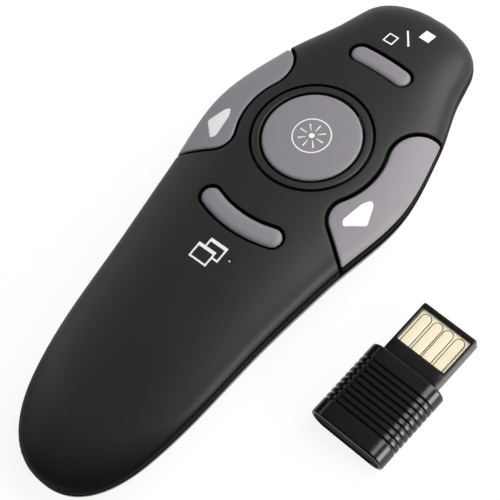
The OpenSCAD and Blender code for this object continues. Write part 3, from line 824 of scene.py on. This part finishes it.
def smoked_pipe():
    """The light pipe: smoked plastic in which only a small spot at its axis shows the lamp under it."""
    mat, tree, shader = nodes_of("smoked_pipe")
    where = tree.nodes.new("ShaderNodeTexCoord").outputs["Object"]
    from_axis = vector_node(tree, "SUBTRACT", where, (LED_X * MM, LED_Y * MM, 0))
    far = vector_node(tree, "LENGTH", vector_node(tree, "MULTIPLY", from_axis, (1, 1, 0)))
    spot = mapped(tree, far, (SPOT_R * MM, SPOT_FADE_R * MM), smooth=True)
    tree.links.new(blend(tree, spot, linear(SPOT_GREY), linear(PIPE_SMOKE)), shader.inputs["Base Color"])
    shader.inputs["Roughness"].default_value = 0.3
    shader.inputs["Specular IOR Level"].default_value = 0.3
    return mat


MATS = {name: plastic(name, **look) for name, look in LOOKS.items()}
blacken_strip_and_shade(MATS["shell_matte_black"])

# finishes of single pieces, besides the slot finishes above
# the side keys get the same black band: the side strip's colour, also painting the shade along their lower
# edge
WING = blacken_strip_and_shade(plastic("wing_grey", **LOOKS["key_grey"]))
PRINT = plastic("print_white", (238, 238, 238), rough=0.6, bump=0.03, shade=0.02)
RING = plastic("ring_black", (38, 36, 36), rough=0.4, bump=0.03, spec=0.4)
CAP = plastic("cap_black", (22, 18, 16), rough=0.6, bump=0.03, spec=0.15)
# near-black finish that paints the shade in the gaps, on walls and edge rings; it also draws the dark lines
# round the contacts
GAP_SHADE_AND_LINES = plastic("gap_shade_and_contact_lines", (6, 6, 6), rough=0.9, bump=0.03, spec=0.05)
LASER_RED = plastic("laser_window_red", (70, 12, 12), rough=0.12, bump=0.0, coat=0.4)
PIPE = smoked_pipe()


# ------------------------ clicker
OUTLINE_STEP = 0.3
SHELL = dict(cell=0.7, depth=1.1)


def piece(name, surface, outer, slot, body, node, holes=(), window=0.8, mat=None, **how):
    """A patch of the skin in the place of that CAD node. Each hole comes with its own easing window."""
    loops = [surface.settle(eased(p, OUTLINE_STEP, w)) for p, w in [(outer, window), *holes]]
    verts, faces, walls = patch(surface, loops[0], loops[1:], **how)
    ob = new_mesh(name, verts, faces, mat or MATS[slot], body, walls=walls)
    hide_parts(node)


def build_shells():
    key_holes = [
        over(circle(ROUND_HOLE_R, 0, KEY_Y)),
        arc_band(KEY_GAP),
        bar_band(KEY_GAP),
        over(circle(LED_HOLE_R, LED_X, LED_Y, n=32)),
    ]
    piece(
        "visual_top_shell", TOP, shell_outline(True), "shell_matte_black", "case", "top_shell",
        holes=[(hole, 0) for hole in key_holes], edge=0.4, hole_edge=0.14, dark=4, **SHELL,
    )
    under_holes = [(cover_outline(0.0), 0.6), (over(even(SWITCH_SLOT, 0.2), top=False), 0.5)]
    for side in (-1, 1):
        for x, y in SCREW_PLACES:
            under_holes.append((over(circle(SCREW_HOLE_R, side * x, y), top=False), 0))
    piece(
        "visual_bottom_shell", UNDER, shell_outline(False), "shell_gloss_black", "case", "bottom_shell",
        holes=under_holes, edge=0.6, hole_edge=0.12, dark=5, **SHELL,
    )
    piece(
        "visual_battery_cover", UNDER, cover_outline(COVER_GAP), "shell_gloss_black", "battery_cover_body",
        "battery_cover", window=0.6, edge=0.15, **SHELL,
    )


def build_keys():
    piece(
        "visual_laser_ring", TOP, over(circle(RING_R, 0, KEY_Y)), "shell_gloss_black", "case",
        "laser_key_bezel", holes=[(over(circle(RING_HOLE_R, 0, KEY_Y)), 0)], window=0,
        mat=RING, edge=0.2, cell=0.5, depth=0.45,
    )
    piece(
        "visual_laser_key", TOP, over(circle(ROUND_KEY_R, 0, KEY_Y)), "key_grey", "laser_key_body",
        "laser_key", window=0, edge=0.45, fall=0.5, cell=0.6, depth=1.0, rise=KEY_RAISE,
    )
    wing = wing_outline()
    for name, outline in (("next_key", wing), ("previous_key", mirrored(wing))):
        piece(
            f"visual_{name}", TOP, outline, "key_grey", f"{name}_body", name,
            mat=WING, edge=0.35, cell=0.6, depth=1.0,
        )
    cushion = dict(window=0, fall=0.6, cell=0.4, rise=KEY_RAISE, steps=8)
    piece(
        "visual_window_key", TOP, arc_band(-KEY_TRIM), "key_grey", "window_key_body", "window_key",
        edge=1.2, depth=0.8, **cushion,
    )
    piece(
        "visual_blank_screen_key", TOP, bar_band(-KEY_TRIM), "key_grey", "blank_screen_key_body",
        "blank_screen_key", edge=1.1, depth=0.3, **cushion,
    )


# ------------------------ prints
PRINT_LIFT = 0.02
PRINT_STEP, PRINT_CELL, PRINT_MARGIN = 0.12, 0.5, 0.15
ARROW_STEP, ARROW_EASING = 0.06, 0.9
ARROW = np.array([(14.8, 10.2), (15.55, 9.2), (18.7, 12.1), (17.3, 15.9), (16.5, 16.4), (15.6, 14.9)])
SLASH = np.array([[-1.46, 49.88], [-1.24, 50.12], [1.4, 46.97], [1.1, 46.7]])
FILLED_FRAME = np.array([(1.2, 52.5), (3.4, 52.5), (3.4, 50.05), (1.2, 50.05)])
HOLLOW_FRAME = (-3.53, -1.36, 45.1, 47.45)
HOLLOW_LINE = 0.28
FRONT_WINDOW = (-2.8, 1.17, -11.55, -8.33)
BACK_SHIFT = (1.3, 1.3, 1.8, 1.8)
BACK_WINDOW = tuple(np.add(FRONT_WINDOW, BACK_SHIFT))
WINDOW_LINE, WINDOW_TITLE = 0.36, 0.66
LIGHT_RING_R, LIGHT_RING_HOLE_R, LIGHT_DOT_R = 3.7, 3.45, 0.55
RAYS, RAY_NEAR, RAY_FAR, RAY_HALF_W = 8, 1.05, 2.6, 0.16


def decal(name, loops, body="case", rise=0.0, cut=None):
    """A thin print on the crown. The first outline is filled, and the others and the cut are left open."""
    solid, *gaps = [even(loop, PRINT_STEP) for loop in loops]
    low, high = solid.min(0), solid.max(0)
    x, y = np.meshgrid(np.arange(low[0], high[0], PRINT_CELL), np.arange(low[1], high[1], PRINT_CELL))
    grid = clear_of(np.column_stack([x.ravel(), y.ravel()]), solid, gaps, PRINT_MARGIN)
    points = [solid, *gaps, grid]
    edges = ring_edges([len(loop) for loop in points[:-1]])
    if cut is not None:
        cut = even(cut, PRINT_STEP)
        edges += ring_edges([len(cut)], sum(len(p) for p in points))
        points.append(cut)
        gaps.append(cut)
    flat, tri, _ = triangulated(np.vstack(points), edges, solid, gaps)
    p = over(flat)
    p = p + TOP.normal(p) * (rise + PRINT_LIFT)
    ob = new_mesh(name, p, tri.tolist(), PRINT, body)


def frame_icon(name, span, line, title, cut=None):
    """An upright frame over that span of X and Y, with thin lines and a title line."""
    x0, x1, y0, y1 = span
    decal(name, [box(*span), box(x0 + line, x1 - line, y0 + line, y1 - title)], cut=cut)


def ray(angle):
    """A thin tapering ray of the light symbol on the round key."""
    a = math.radians(angle)
    d = np.array([math.cos(a), math.sin(a)])
    near, far = d * RAY_NEAR + (0, KEY_Y), d * RAY_FAR + (0, KEY_Y)
    n = np.array([-d[1], d[0]]) * RAY_HALF_W
    return np.array([near - n / 3, far - n, far + n, near + n / 3])


def build_prints():
    decal("print_arrow_next", [eased(ARROW, ARROW_STEP, ARROW_EASING)], "next_key_body")
    decal("print_arrow_previous", [eased(ARROW * (-1, 1), ARROW_STEP, ARROW_EASING)], "previous_key_body")
    frame_icon("print_window_hollow", HOLLOW_FRAME, HOLLOW_LINE, HOLLOW_LINE)
    decal("print_window_filled", [FILLED_FRAME])
    decal("print_slash", [SLASH])
    frame_icon("print_windows_front", FRONT_WINDOW, WINDOW_LINE, WINDOW_TITLE)
    frame_icon("print_windows_back", BACK_WINDOW, WINDOW_LINE, WINDOW_TITLE, box(*FRONT_WINDOW))
    light_ring = [circle(LIGHT_RING_R, 0, KEY_Y), circle(LIGHT_RING_HOLE_R, 0, KEY_Y)]
    decal("print_light_ring", light_ring, "laser_key_body", KEY_RAISE)
    decal("print_light_dot", [circle(LIGHT_DOT_R, 0, KEY_Y)], "laser_key_body", KEY_RAISE)
    for k in range(RAYS):
        decal(f"print_light_ray_{k}", [ray(360 / RAYS * k)], "laser_key_body", KEY_RAISE)


# ------------------------ receiver, in its own frame
RECEIVER_AT, RECEIVER_TURN = (37.6 * MM, -1.6 * MM, 3 * MM), math.radians(-3)
RECEIVER_PLACE = Matrix.Translation(RECEIVER_AT) @ Matrix.Rotation(RECEIVER_TURN, 4, "Z")
SLEEVE_W, SLEEVE_H, SLEEVE_REAR = 16.3, 6.0, -17.0
CAP_W, CAP_H, CAP_REAR, CAP_FRONT = 14.7, 4.4, -16.75, -14.75
SLEEVE_REAR_EDGE, SLEEVE_FRONT_EDGE, CAP_EDGE = 0.45, 0.55, 0.25
GROOVES, GROOVE_FIRST, GROOVE_PITCH = 9, -3.0, 1.25
GROOVE_W, GROOVE_DEPTH, GROOVE_LIP, GROOVE_BEVEL, GROOVE_CORNER = 0.45, 0.45, 0.09, 0.03, 0.07
PLUG_TOP, PLUG_H, PLUG_EDGE = 1.4, 2.6, 0.2
PLUG_BOX, PLUG_OPENING = (-6.05, 6.05, -0.2, 11.7), (-5.4, 5.4, 3.2, 10.75)
FIELD_BOX = (-5.35, 5.35, 3.15, 10.7)
FIELD_TOP, CONTACT_TOP, CONTACT_EDGE_TOP = 0.9, 1.02, 0.95
CONTACT_X = (-3.8, -1.2, 1.2, 3.8)
CONTACT_HALF, CONTACT_REAR, CONTACT_ROUND_Y, CONTACT_OUTLINE = 0.95, 3.2, 9.25, 0.16


def oval(w, h, n=26):
    """Cross section of the receiver, as (x, z) points. Those near the ends of the flats keep them flat."""
    r = h / 2
    c = (w - h) / 2
    flat_x = np.array([c - 0.1, c - 0.5, 0.5 - c, 0.1 - c])
    top = np.column_stack([flat_x, np.full(4, r)])
    return np.vstack([sweep(c, 0, r, -90, 90, n), top, sweep(-c, 0, r, 90, 270, n), -top])


def tube(rows, w, h, cap_first, cap_last):
    """A loft of the oval along Y through rows of (y, inset)."""
    verts, faces = [], []
    for y, inset in rows:
        section = oval(w - 2 * inset, h - 2 * inset)
        verts.append(np.column_stack([section[:, 0], np.full(len(section), y), section[:, 1]]))
    m = len(verts[0])
    last = (len(rows) - 1) * m
    for start in range(0, last, m):
        for j in range(m):
            a, b = start + j, start + (j + 1) % m
            faces.append([a, a + m, b + m, b])
    if cap_first:
        faces.append(list(range(m)))
    if cap_last:
        faces.append(list(range(last, last + m))[::-1])
    return np.vstack(verts), faces


def quarter(y, r, into, n=6):
    """Rows of a rounded edge where a face at y meets the side. The body lies on its +Y side if into is 1."""
    angles = [math.pi / 2 * k / n for k in range(n + 1)]
    return [(y + into * r * (1 - math.sin(a)), r * (1 - math.cos(a))) for a in angles]


def groove_rows(front):
    """Rows of one groove with rounded lips and corners, from its rear side to the front one."""
    back = front - GROOVE_W
    lip, bevel, corner, deep = GROOVE_LIP, GROOVE_BEVEL, GROOVE_CORNER, GROOVE_DEPTH
    return [
        (back - 2 * lip, 0.0), (back - lip, 0.0), (back - bevel, bevel), (back, lip),
        (back, deep - corner), (back + corner, deep), (front - corner, deep), (front, deep - corner),
        (front, lip), (front + bevel, bevel), (front + lip, 0.0), (front + 2 * lip, 0.0),
    ]


def sleeve_rows():
    """Rows of the sleeve from inside its rear opening over the rim and the grooves to its front edge."""
    rear = SLEEVE_REAR
    rows = [(rear + 1.0, 0.7), (rear + 0.1, 0.7), (rear + 0.03, 0.66), (rear, 0.58)]
    rows += [*quarter(rear, SLEEVE_REAR_EDGE, 1)[::-1], (rear + SLEEVE_REAR_EDGE + 0.1, 0.0)]
    for i in reversed(range(GROOVES)):
        rows += groove_rows(GROOVE_FIRST - i * GROOVE_PITCH)
    rows.append((-SLEEVE_FRONT_EDGE - 0.1, 0.0))
    return rows + quarter(0.0, SLEEVE_FRONT_EDGE, -1)


def flat_loop(span, z, window):
    """Outline of a box at height z with its corners eased."""
    p = even(box(*span), 0.2)
    return eased(np.column_stack([p, np.full(len(p), z)]), 0.15, window)


def contact_strips(grow, z):
    """The four contacts as one mesh, each grown by that much all round."""
    verts, faces, count = [], [], 0
    for x in CONTACT_X:
        w = CONTACT_HALF + grow
        round_end = sweep(x, CONTACT_ROUND_Y, w, 0, 180)
        p = even(np.vstack([[[x - w, CONTACT_REAR], [x + w, CONTACT_REAR]], round_end]), 0.12)
        v, f, walls = patch(Level(z), np.column_stack([p, np.full(len(p), z)]), edge=0.04, depth=0.05)
        verts.append(v)
        faces += [[q + count for q in face] for face in f + walls]
        count += len(v)
    return np.vstack(verts), faces


def receiver_piece(name, verts, faces, mat, slot, node=None):
    """An object of the receiver, in the place of that CAD node if one is given."""
    ob = new_mesh(name, verts, faces, mat, "receiver_body", RECEIVER_PLACE)
    if node:
        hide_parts(node)


def build_receiver():
    black = MATS["receiver_black"]
    sleeve = tube(sleeve_rows(), SLEEVE_W, SLEEVE_H, False, True)
    receiver_piece("visual_receiver_sleeve", *sleeve, black, "receiver_black", "receiver_sleeve")
    cap_rows = [*quarter(CAP_REAR, CAP_EDGE, 1)[::-1], (CAP_FRONT, 0.0)]
    end_cap = tube(cap_rows, CAP_W, CAP_H, True, True)
    receiver_piece("visual_receiver_end_cap", *end_cap, CAP, "receiver_black", "receiver_end_cap")

    outer, opening = flat_loop(PLUG_BOX, PLUG_TOP, 0.7), flat_loop(PLUG_OPENING, PLUG_TOP, 0.4)
    verts, faces, walls = patch(
        Level(PLUG_TOP), outer, [opening], edge=PLUG_EDGE, hole_edge=0.1, cell=1.2, depth=PLUG_H - PLUG_EDGE
    )
    underside = list(range(len(outer)))[::-1]
    plug_faces = [*faces, *walls, underside]
    receiver_piece("visual_receiver_plug", verts, plug_faces, black, "receiver_black", "receiver_plug")

    field = flat_loop(FIELD_BOX, FIELD_TOP, 0.3)
    verts, faces, walls = patch(Level(FIELD_TOP), field, edge=0.03, cell=1.2, depth=0.7)
    receiver_piece(
        "visual_receiver_board", verts, faces + walls, MATS["board_ivory"], "board_ivory", "receiver_board"
    )
    gold = contact_strips(0.0, CONTACT_TOP)
    receiver_piece(
        "visual_receiver_contacts", *gold, MATS["contact_gold"], "contact_gold", "receiver_contacts"
    )
    outlines = contact_strips(CONTACT_OUTLINE, CONTACT_EDGE_TOP)
    receiver_piece("contact_edges", *outlines, GAP_SHADE_AND_LINES, "receiver_black")


# ------------------------ CAD nodes that show as they are
NODES = {
    "clear_lens": ("status_light_pipe", "laser_window", "laser_lens", "status_led"),
    "board_green": ("main_board",),
    "chip_black": ("controller_chip", "receiver_chip"),
    "plated_steel": (
        "radio_crystal", "laser_diode", "battery_springs", "battery_plates",
        "power_switch_body", "case_screws",
    ),
    "barrel_brass": ("laser_barrel",),
    "cell_jacket": ("battery_left", "battery_right"),
    "shell_matte_black": ("power_switch_knob",),
}
NODE_SLOTS = {name: slot for slot, names in NODES.items() for name in names}
NODE_FINISHES = {"status_light_pipe": PIPE, "laser_window": LASER_RED}


def slot_of(name):
    """The slot of a CAD node that no piece replaces, or None."""
    if name.endswith("_tact_switch"):
        return "plated_steel"
    if name.endswith("_plunger"):
        return "chip_black"
    return NODE_SLOTS.get(name)


def dress_nodes():
    for name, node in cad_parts.items():
        slot = slot_of(name)
        if slot:
            node.data.materials.clear()
            node.data.materials.append(NODE_FINISHES.get(name, MATS[slot]))


# ------------------------ stage, light and camera, in metres
FLOOR_HALF, FLOOR_Z = 3, -0.00005
FLOOR_GLOW = 1.04
SEEN_SHARE, MIRRORED_SHARE = 0.85, 0.3
SKY_TOWARDS = (-0.3, 0.5, -1)
SKY_SPAN, SKY_BRIGHTEST = 1.25, 0.5
WARM_NOSE, WARM_SIDE, PLAIN = (1.0, 0.94, 0.91), (1.0, 0.94, 0.9), (1, 1, 1)

# name, place, what it faces, width and height, watts, tint
LAMPS = (
    ("upper_card", (0.26, 0.36, 0.75), (0, 0, 0), (0.55, 0.55), 4.6, PLAIN),
    ("nose_card", (0.27, 0.67, 0.37), (0, 0, 0), (0.4, 0.34), 2.6, WARM_NOSE),
    ("side_card", (0.76, 0.16, 0.22), (0.04, 0, 0), (0.42, 0.38), 4.5, WARM_SIDE),
    ("left_card", (-0.76, -0.15, 0.45), (0, 0, 0), (1.0, 0.6), 2.3, PLAIN),
)

# the camera that was fitted to the photo: direction, roll, what it looks at and how far off it stands
CAM_AZ, CAM_EL, CAM_ROLL = math.radians(54.69), math.radians(62.72), math.radians(-16.77)
CAM_TARGET, CAM_FAR = (-2.02, 1.02, 0), 319.55
PHOTO_PX, FOCAL_PX, SENSOR = 500, 1700, 36


def frame_matrix(right, up, back, at):
    """World matrix of an object with these axes at that place."""
    m = np.eye(4)
    m[:3, 0], m[:3, 1], m[:3, 2], m[:3, 3] = right, up, back, at
    return Matrix(m.tolist())


def floor_white():
    """A white floor that seen rays find evenly white, but for a share of the shadows that lie on it."""
    mat = plastic("floor_white", (250, 250, 250), rough=0.8, bump=0.0, shade=0.0, spec=0.1)
    tree = mat.node_tree
    path = tree.nodes.new("ShaderNodeLightPath").outputs
    mirrored_ray = math_node(tree, "MAXIMUM", path["Is Glossy Ray"], path["Is Transmission Ray"])
    mirrored_part = math_node(tree, "MULTIPLY", mirrored_ray, MIRRORED_SHARE)
    share = math_node(tree, "MULTIPLY_ADD", path["Is Camera Ray"], SEEN_SHARE, mirrored_part)
    glow = tree.nodes.new("ShaderNodeEmission")
    glow.inputs["Strength"].default_value = FLOOR_GLOW
    mix = tree.nodes.new("ShaderNodeMixShader")
    tree.links.new(share, mix.inputs["Fac"])
    tree.links.new(tree.nodes["Principled BSDF"].outputs["BSDF"], mix.inputs[1])
    tree.links.new(glow.outputs["Emission"], mix.inputs[2])
    tree.links.new(mix.outputs["Shader"], tree.nodes["Material Output"].inputs["Surface"])
    return mat


def build_floor():
    corners = [(x, y, FLOOR_Z) for x, y in box(-FLOOR_HALF, FLOOR_HALF, -FLOOR_HALF, FLOOR_HALF).tolist()]
    mesh = bpy.data.meshes.new("floor")
    mesh.from_pydata(corners, [], [(0, 1, 2, 3)])
    mesh.materials.append(floor_white())
    floor = bpy.data.objects.new("floor", mesh)
    bpy.context.scene.collection.objects.link(floor)
    return floor


def build_world():
    """A plain sky that is brighter low down and ahead of the nose, and darker overhead."""
    world = bpy.data.worlds.new("studio")
    bpy.context.scene.world = world
    world.use_nodes = True
    tree = world.node_tree
    direction = tree.nodes.new("ShaderNodeTexCoord").outputs["Generated"]
    facing = vector_node(tree, "DOT_PRODUCT", direction, SKY_TOWARDS)
    background = tree.nodes["Background"]
    background.inputs["Color"].default_value = (1, 1, 1, 1)
    strength = mapped(tree, facing, (-SKY_SPAN, SKY_SPAN), (0, SKY_BRIGHTEST))
    tree.links.new(strength, background.inputs["Strength"])


def add_lamp(name, at, to, size, power, tint):
    """An area light at that place that faces the second one, with its width level."""
    data = bpy.data.lights.new(name, "AREA")
    data.shape = "RECTANGLE"
    data.size, data.size_y = size
    data.energy = power
    data.color = tint
    lamp = bpy.data.objects.new(name, data)
    back = np.array(at) - np.array(to)
    back = back / np.linalg.norm(back)
    right = np.cross([0, 0, 1], back)
    right = right / np.linalg.norm(right)
    lamp.matrix_world = frame_matrix(right, np.cross(back, right), back, at)
    bpy.context.scene.collection.objects.link(lamp)


def add_camera():
    back = np.array([
        math.sin(CAM_AZ) * math.cos(CAM_EL),
        -math.cos(CAM_AZ) * math.cos(CAM_EL),
        math.sin(CAM_EL),
    ])
    level = np.array([math.cos(CAM_AZ), math.sin(CAM_AZ), 0])
    upright = np.cross(back, level)
    right = level * math.cos(CAM_ROLL) + upright * math.sin(CAM_ROLL)
    up = -level * math.sin(CAM_ROLL) + upright * math.cos(CAM_ROLL)
    data = bpy.data.cameras.new("photo")
    data.sensor_width = SENSOR
    data.lens = FOCAL_PX / PHOTO_PX * SENSOR
    data.clip_start = 0.01
    data.clip_end = 20
    camera = bpy.data.objects.new("photo", data)
    camera.matrix_world = frame_matrix(right, up, back, (np.array(CAM_TARGET) + back * CAM_FAR) * MM)
    bpy.context.scene.collection.objects.link(camera)
    bpy.context.scene.camera = camera


build_shells()
build_keys()
build_prints()
build_receiver()
dress_nodes()

floor = build_floor()
build_world()
for lamp in LAMPS:
    add_lamp(*lamp)
add_camera()
bpy.context.scene.view_settings.view_transform = "Standard"
